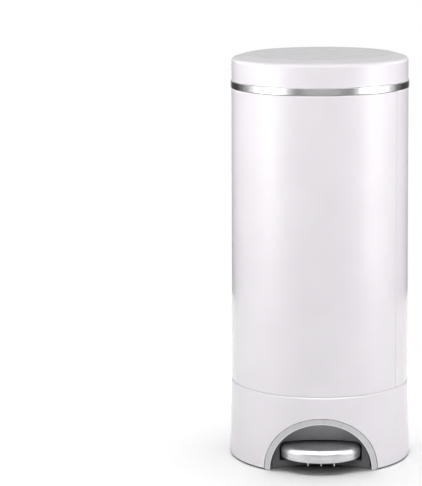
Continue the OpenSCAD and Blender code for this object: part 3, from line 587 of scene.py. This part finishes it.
def make_back():
    back = skin_ring("back_shell", BASE_H, BAND_FOOT - 0.4)
    opening = sawn_sector(turned("opening", [(110, 110), (170, 110), (170, 610), (110, 610)], 64),
                          -98.35, DOOR_RIGHT + 0.327)
    carve(back, opening)
    carve(back, rod_tool(10.7, at(120, BUTTON_ANGLE, LATCH_Z), at(160, BUTTON_ANGLE, LATCH_Z)))
    for x in (-30, 30):
        carve(back, rod_tool(2, (x, 120, 582), (x, 160, 582), 24))
    soften(back, 0.6, 3, 40)
    for left, right, inset, thick in ((54.5, 61, WALL + 0.5, 2.7), (58, 61, WALL - 0.5, 1.5)):
        lip = wall_ring("jamb", DOOR_FOOT + 4, DOOR_HEAD - 4, inset, thick)
        join(back, soften(sawn_sector(lip, left, right), 0.4, 2, 40))
    finish_piece(back, "white_plastic", "bin", ["body_shell"], 20)


make_back()

# ---------------------------------------------------------------- base, recess and pedal

def make_base():
    base = turned("base_cover", [(base_r(2), 2), (base_r(121.2), 121.2), (body_r(BASE_H) + 0.05, 123.2),
                                 (body_r(BASE_H) - 0.3, BASE_H), (124, BASE_H), (124, BASE_H - 3),
                                 (base_r(BASE_H) - 3, BASE_H - 3), (base_r(2) - 3, 2)], 256)
    carve(base, rod_tool(ARCH_R, (0, -40, 0), (0, -300, 0), 192))
    carve(base, box_tool(-11, 11, 117, 136.7, 110, 130))
    carve(base, rod_tool(2.55, (*DOOR_AXIS, 110), (*DOOR_AXIS, 130), 32))
    soften(base, 0.5, 3, 40)
    for angle in (-65, 65, -140, 140):
        boss = rod_tool(4.5, at(131, angle, 5.5), at(131, angle, 30), 32)
        carve(boss, rod_tool(1.6, at(131, angle, 0), at(131, angle, 24), 24))
        join(base, soften(boss, 0.3, 2, 40))
    finish_piece(base, "white_plastic", "bin", ["base_shell"], 20)


make_base()


def base_block(inset, low, high):
    return turned("block", [(base_r(low) - inset, low), (base_r(high) - inset, high)], 256, closed=False)


def make_recess():
    """A trim ring flush with the base, and a domed tunnel behind it with the pedal's slot."""
    steps = 14
    curve = [(math.cos(math.pi / 2 * i / steps), math.sin(math.pi / 2 * i / steps)) for i in range(steps)]
    inner = [(COVE_R * c, 121.4 - 31 * u) for c, u in curve] + [(1, 90.4)]
    outer = [(1, 87.9)] + [((COVE_R + 2.5) * c, 121.4 - 33.5 * u) for c, u in reversed(curve)]
    tunnel = close_middle(turned("arch_recess", [(COVE_R, 150)] + inner + outer + [(COVE_R + 2.5, 150)], 192), 1.5)
    placed(tunnel, (90, 0, 0))
    cut(tunnel, (0, 0, 0.5), (0, 0, -1))
    carve(tunnel, turned("block", [(135, -5), (135, 120)], 256, closed=False), "INTERSECT")
    slot = box_tool(-65.1, 65.1, -151, 0, 11, 43.0)
    shape = edit(slot)
    bpy.ops.mesh.select_mode(type="EDGE")
    pick_edges(shape, lambda p: p.x > 65 and p.z > 41)
    pick_edges(shape, lambda p: p.x < -65 and p.z > 41)
    bpy.ops.mesh.bevel(offset=9.6 * MM, segments=10)
    done(slot)
    carve(tunnel, slot)
    soften(tunnel, 0.5, 2, 45)
    finish_piece(tunnel, "frame_plastic", "bin", ["arch_liner"], 40)
    # the recess's plastic carries painted shade, darker low down and paler near the arch's top
    tunnel.data.materials[0] = recess_painted_shade("recess_painted_shade")
    trim = placed(turned("arch_trim", [(COVE_R, 95), (COVE_R, 150), (ARCH_R - 0.8, 150), (ARCH_R - 0.8, 95)], 192),
                  (90, 0, 0))
    cut(trim, (0, 0, 0.5), (0, 0, -1))
    carve(trim, base_block(0.4, -1, 122), "INTERSECT")
    carve(trim, base_block(10, -2, 123))
    soften(trim, 1.2, 4, 40)
    finish_piece(trim, "trim_plastic", "bin", ["arch_liner"], 40)
    # a bead of paler plastic along the trim's inner edge: the bead is real, its paler colour is a painted highlight
    # for the light that edge catches
    highlight_bead = turned("arch_bead", [(COVE_R - 0.35, 95), (COVE_R - 0.35, 150),
                                (COVE_R + 1.0, 150), (COVE_R + 1.0, 95)], 192)
    placed(highlight_bead, (90, 0, 0))
    cut(highlight_bead, (0, 0, 0.5), (0, 0, -1))
    carve(highlight_bead, base_block(0.2, -1, 122), "INTERSECT")
    carve(highlight_bead, base_block(3, -2, 123))
    soften(highlight_bead, 0.5, 3, 40)
    finish_piece(highlight_bead, "inner_plastic", "bin", ["arch_liner"], 40)


make_recess()


def make_pedal():
    """A pressed cap with a rounded rim over a slightly smaller skirt, and three ribs underneath."""
    outline = [(60.4, PEDAL_RIM), (62.7, PEDAL_RIM), (62.7, 25.7), (62.2, 26.2), (63.5, 27.0), (63.5, 39.2),
               (30, 39.45), (1, PEDAL_TOP), (1, 37.0), (57, 36.4), (60.4, 30)]
    pedal = close_middle(turned("pedal_cap", outline, 192), 1.5)
    round_ring(pedal, 63.5, 39.2, 9.4, 12)
    round_ring(pedal, 62.7, PEDAL_RIM, 0.9, 3)
    placed(pedal, stretch=(1, 51 / 63.5, 1), shift=(0, -99.8, 0))
    cut(pedal, (0, -74, 0), (0, 1, 0))
    soften(pedal, 0.3, 2, 50)
    for x in (-20.5, 0, 20.5):
        join(pedal, soften(box_tool(x - 0.8, x + 0.8, -148, -129, 14.8, 30), 0.5, 3))
    finish_piece(pedal, "pedal_silver", "pedal", ["pedal_pad"])


make_pedal()

# ---------------------------------------------------------------- small parts at the back

def make_button():
    """A round button with a shallow dish for the finger."""
    button = turned("latch_button", [(9, 0), (9, 8.55)], 96, closed=False)
    shape = edit(button)
    bpy.ops.mesh.select_mode(type="FACE")
    pick_faces(shape, lambda middle, normal: normal.z > 0.9)
    bpy.ops.mesh.inset(thickness=2.0 * MM)
    bpy.ops.mesh.inset(thickness=1.2 * MM, depth=-0.6 * MM)
    bpy.ops.mesh.inset(thickness=2.5 * MM, depth=-0.2 * MM)
    done(button)
    round_ring(button, 9, 8.55, 1.0, 4)
    soften(button, 0.2, 2)
    placed(button, (0, 90, BUTTON_ANGLE - 90), at(134.6, BUTTON_ANGLE, LATCH_Z))
    finish_piece(button, "trim_plastic", "latch", ["release_button"])


make_button()


def make_hinge_cover():
    """The hinge housing's shape from the frame, with its edges rounded as a moulding's are."""
    bpy.ops.object.select_all(action="DESELECT")
    cover = bpy.data.objects.new("hinge_cover", frame["nodes"]["hinge_housing"].data.copy())
    bpy.context.scene.collection.objects.link(cover)
    only(cover)
    bpy.ops.object.mode_set(mode="EDIT")
    bpy.ops.mesh.select_all(action="SELECT")
    bpy.ops.mesh.remove_doubles(threshold=0.00001)
    bpy.ops.mesh.dissolve_limited(angle_limit=math.radians(1))
    bpy.ops.object.mode_set(mode="OBJECT")
    cover.data.materials.clear()
    soften(cover, 0.7, 3, 40)
    finish_piece(cover, "white_plastic", "bin", ["hinge_housing"], 30)


make_hinge_cover()


def make_springs():
    spring = wound("rod_spring", (0, 124, 443.1), (0, 0, 1), 5.8, 0.8, 34.4, 6)
    finish_piece(spring, "steel", "bin", ["return_spring"], 60)
    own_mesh(spring)
    small = wound("latch_coil", at(122, 122, 358), at(1, 122, 0), 3.5, 0.5, 7.7, 4)
    finish_piece(small, "steel", "bin", ["latch_spring"], 60)
    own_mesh(small)


make_springs()

# ---------------------------------------------------------------- floor, lamps and background

def make_floor():
    bpy.ops.object.select_all(action="DESELECT")
    bpy.ops.mesh.primitive_plane_add(size=16, location=(0, 0, -0.0005))
    floor = bpy.context.object
    floor.name = "studio_floor"
    bpy.ops.object.transform_apply(location=True, rotation=True, scale=True)
    pale = bpy.data.materials.new("pale_floor")
    pale.use_nodes = True
    nodes, links = pale.node_tree.nodes, pale.node_tree.links
    shader, out = nodes["Principled BSDF"], nodes["Material Output"]
    shader.inputs["Base Color"].default_value = (0.62, 0.62, 0.63, 1)
    shader.inputs["Roughness"].default_value = 0.9
    shader.inputs["Specular IOR Level"].default_value = 0.1
    path, seen = seen_or_mirrored(nodes, links)
    bright = nodes.new("ShaderNodeBsdfDiffuse")
    # under the bin the floor is painted almost black, which keeps the shade beneath the pedal deep
    place = nodes.new("ShaderNodeTexCoord")
    reach = nodes.new("ShaderNodeVectorMath")
    reach.operation = "LENGTH"
    links.new(place.outputs["Object"], reach.inputs[0])
    shade = nodes.new("ShaderNodeMapRange")
    shade.interpolation_type = "SMOOTHSTEP"
    shade.inputs["From Min"].default_value = 0.08
    shade.inputs["From Max"].default_value = 0.15
    shade.inputs["To Min"].default_value = 0.01
    shade.inputs["To Max"].default_value = 1.06
    links.new(reach.outputs["Value"], shade.inputs["Value"])
    links.new(shade.outputs["Result"], bright.inputs["Color"])
    both = nodes.new("ShaderNodeMixShader")
    links.new(seen, both.inputs["Fac"])
    links.new(shader.outputs[0], both.inputs[1])
    links.new(bright.outputs[0], both.inputs[2])
    # away from the bin the floor runs into the white background
    fade = nodes.new("ShaderNodeMapRange")
    fade.interpolation_type = "SMOOTHSTEP"
    fade.inputs["From Min"].default_value = 0.25
    fade.inputs["From Max"].default_value = 0.75
    links.new(reach.outputs["Value"], fade.inputs["Value"])
    amount = maths(nodes, links, "MULTIPLY", fade.outputs["Result"], path.outputs["Is Camera Ray"])
    white = nodes.new("ShaderNodeEmission")
    blend = nodes.new("ShaderNodeMixShader")
    links.new(amount, blend.inputs["Fac"])
    links.new(both.outputs[0], blend.inputs[1])
    links.new(white.outputs[0], blend.inputs[2])
    links.new(blend.outputs[0], out.inputs["Surface"])
    floor.data.materials.append(pale)
    return floor


floor = make_floor()
on_floor = bpy.data.collections.new("on_floor")
on_floor.objects.link(floor)
off_floor = bpy.data.collections.new("off_floor")
off_floor.objects.link(floor)
off_floor.collection_objects[0].light_linking.link_state = "EXCLUDE"


def lamp(name, place, aim, width, height, power, lights=off_floor, spread=180):
    """A soft lamp for the bin, or one for the floor alone."""
    data = bpy.data.lights.new(name, "AREA")
    data.shape = "RECTANGLE"
    data.size = width
    data.size_y = height
    data.energy = power
    data.spread = math.radians(spread)
    holder = bpy.data.objects.new(name, data)
    holder.location = place
    holder.rotation_euler = (Vector(aim) - Vector(place)).to_track_quat("-Z", "Y").to_euler()
    holder.visible_camera = False
    holder.visible_glossy = False
    holder.light_linking.receiver_collection = lights
    bpy.context.scene.collection.objects.link(holder)


# Brightness of the studio's wall as shiny surfaces see it, by the angle to the right of the front:
# a tall soft box at each side, a grey room in front, dark drapes towards the back and a dim glow behind.
WALL_LEVELS = [(-180, 0.6), (-163, 0.6), (-151, 0.08), (-130, 0.05), (-116, 0.18), (-104, 0.45), (-94, 0.95),
               (-84, 1.6), (-74, 3.4), (-62, 4.3), (-52, 2.3), (-44, 1.2), (-37, 0.6), (-30, 0.3), (-24, 0.33),
               (-17, 0.44), (0, 0.48), (19, 0.45), (30, 0.29), (38, 0.34), (45, 0.7), (51, 1.7), (60, 3.5),
               (68, 4.3), (78, 3.4), (88, 1.6), (98, 0.75), (112, 0.18), (128, 0.05), (151, 0.08), (163, 0.6),
               (180, 0.6)]
# The same above the height of the bin: bright in front, added to a faint level all round
SKY_LEVELS = [(-180, 0), (-145, 0), (-110, 4.5), (-65, 6.0), (65, 6.0), (110, 4.5), (145, 0), (180, 0)]
# and how that light changes with height: a strip of full strength between two fainter parts
SKY_HEIGHTS = [(0.0, 0.2), (0.8, 0.2), (0.86, 1.5), (0.93, 1.5), (0.99, 0.2), (1.7, 0.2)]
BACK_LEVEL = 0.62
TOP_LEVEL = 9.0


def shiny_only(thing):
    thing.visible_camera = False
    thing.visible_diffuse = False
    thing.visible_shadow = False
    thing.visible_transmission = False
    thing.visible_volume_scatter = False


def level_ramp(nodes, links, value, stops, low, high):
    """Brightness over a range of angles or heights."""
    share = nodes.new("ShaderNodeMapRange")
    share.inputs["From Min"].default_value = low
    share.inputs["From Max"].default_value = high
    links.new(value, share.inputs["Value"])
    ramp = nodes.new("ShaderNodeValToRGB")
    marks = ramp.color_ramp
    marks.interpolation = "EASE"
    while len(marks.elements) > 1:
        marks.elements.remove(marks.elements[0])
    for i, (place, level) in enumerate(stops):
        spot = (place - stops[0][0]) / (stops[-1][0] - stops[0][0])
        mark = marks.elements[0] if i == 0 else marks.elements.new(spot)
        mark.position = spot
        mark.color = (level / TOP_LEVEL,) * 3 + (1,)
    links.new(share.outputs["Result"], ramp.inputs["Fac"])
    return ramp.outputs["Color"]


def make_studio_wall():
    bpy.ops.object.select_all(action="DESELECT")
    bpy.ops.mesh.primitive_cylinder_add(vertices=96, radius=1.3, depth=1.7, end_fill_type="NOTHING",
                                        location=(0, 0, 0.85))
    wall = bpy.context.object
    wall.name = "studio_wall"
    bpy.ops.object.transform_apply(location=True, rotation=True, scale=True)
    paint = bpy.data.materials.new("studio_wall")
    paint.use_nodes = True
    nodes, links = paint.node_tree.nodes, paint.node_tree.links
    nodes.remove(nodes["Principled BSDF"])
    across, deep, height = place_parts(nodes, links, nodes.new("ShaderNodeTexCoord"))
    angle = maths(nodes, links, "ARCTAN2", across, maths(nodes, links, "MULTIPLY", deep, -1))
    wall_level = level_ramp(nodes, links, angle, WALL_LEVELS, -math.pi, math.pi)
    sky_level = level_ramp(nodes, links, angle, SKY_LEVELS, -math.pi, math.pi)
    strip = level_ramp(nodes, links, height, SKY_HEIGHTS, SKY_HEIGHTS[0][0], SKY_HEIGHTS[-1][0])
    # the soft boxes fade towards the floor
    lift = nodes.new("ShaderNodeMapRange")
    lift.inputs["From Max"].default_value = 0.45
    lift.inputs["To Min"].default_value = 0.4
    links.new(height, lift.inputs["Value"])
    low = maths(nodes, links, "MULTIPLY", wall_level, lift.outputs["Result"])
    front = maths(nodes, links, "MULTIPLY", sky_level, maths(nodes, links, "MULTIPLY", strip, TOP_LEVEL))
    high = maths(nodes, links, "ADD", front, BACK_LEVEL / TOP_LEVEL)
    above = nodes.new("ShaderNodeMapRange")
    above.inputs["From Min"].default_value = 0.6
    above.inputs["From Max"].default_value = 0.7
    links.new(height, above.inputs["Value"])
    upper = maths(nodes, links, "MULTIPLY", high, above.outputs["Result"])
    lower = maths(nodes, links, "MULTIPLY", low, maths(nodes, links, "SUBTRACT", 1, above.outputs["Result"]))
    glow = nodes.new("ShaderNodeEmission")
    links.new(maths(nodes, links, "MULTIPLY", maths(nodes, links, "ADD", upper, lower), TOP_LEVEL),
              glow.inputs["Strength"])
    links.new(glow.outputs[0], nodes["Material Output"].inputs["Surface"])
    wall.data.materials.append(paint)
    shiny_only(wall)


def make_ceiling():
    """The soft light overhead, as rounded edges see it."""
    bpy.ops.object.select_all(action="DESELECT")
    bpy.ops.mesh.primitive_plane_add(size=3.2, location=(0, -1.2, 3.0), rotation=(math.pi, 0, 0))
    ceiling = bpy.context.object
    ceiling.name = "studio_ceiling"
    bpy.ops.object.transform_apply(location=True, rotation=True, scale=True)
    paint = bpy.data.materials.new("studio_ceiling")
    paint.use_nodes = True
    nodes, links = paint.node_tree.nodes, paint.node_tree.links
    nodes.remove(nodes["Principled BSDF"])
    glow = nodes.new("ShaderNodeEmission")
    glow.inputs["Strength"].default_value = 4.0
    links.new(glow.outputs[0], nodes["Material Output"].inputs["Surface"])
    ceiling.data.materials.append(paint)
    shiny_only(ceiling)


def around(angle, distance, height):
    """A place round the bin, by its angle to the right of the front."""
    a = math.radians(angle)
    return (distance * math.sin(a), -distance * math.cos(a), height)


# What the lamps overhead point at
MIDDLE = (0, 0, 0.34)
lamp("key_fill", around(-8, 3.2, 1.7), (0, 0, 0.5), 2.6, 1.6, 53)
lamp("back_fill", around(172, 3.2, 1.5), (0, 0, 0.4), 2.6, 1.6, 56)
lamp("top_soft", (0, -0.3, 2.6), MIDDLE, 2.4, 2.4, 2)
lamp("left_soft", around(-76, 2.4, 1.0), (0, 0, 0.75), 1.0, 1.0, 3.7, spread=48)
lamp("right_soft", around(78, 2.4, 1.0), (0, 0, 0.62), 1.0, 1.0, 4.7, spread=55)
lamp("floor_top", (0, 0.1, 2.6), MIDDLE, 1.6, 1.6, 52, on_floor)
make_studio_wall()
make_ceiling()


def make_background():
    world = bpy.data.worlds.new("studio")
    bpy.context.scene.world = world
    world.use_nodes = True
    nodes, links = world.node_tree.nodes, world.node_tree.links
    background = nodes["Background"]
    background.inputs["Color"].default_value = (1, 1, 1, 1)
    path, seen = seen_or_mirrored(nodes, links)
    also = maths(nodes, links, "MAXIMUM", seen, path.outputs["Is Transmission Ray"])
    level = nodes.new("ShaderNodeMapRange")
    level.inputs["To Min"].default_value = 0.34
    level.inputs["To Max"].default_value = 1.0
    links.new(also, level.inputs["Value"])
    links.new(level.outputs["Result"], background.inputs["Strength"])


make_background()
bpy.context.scene.view_settings.view_transform = "Standard"
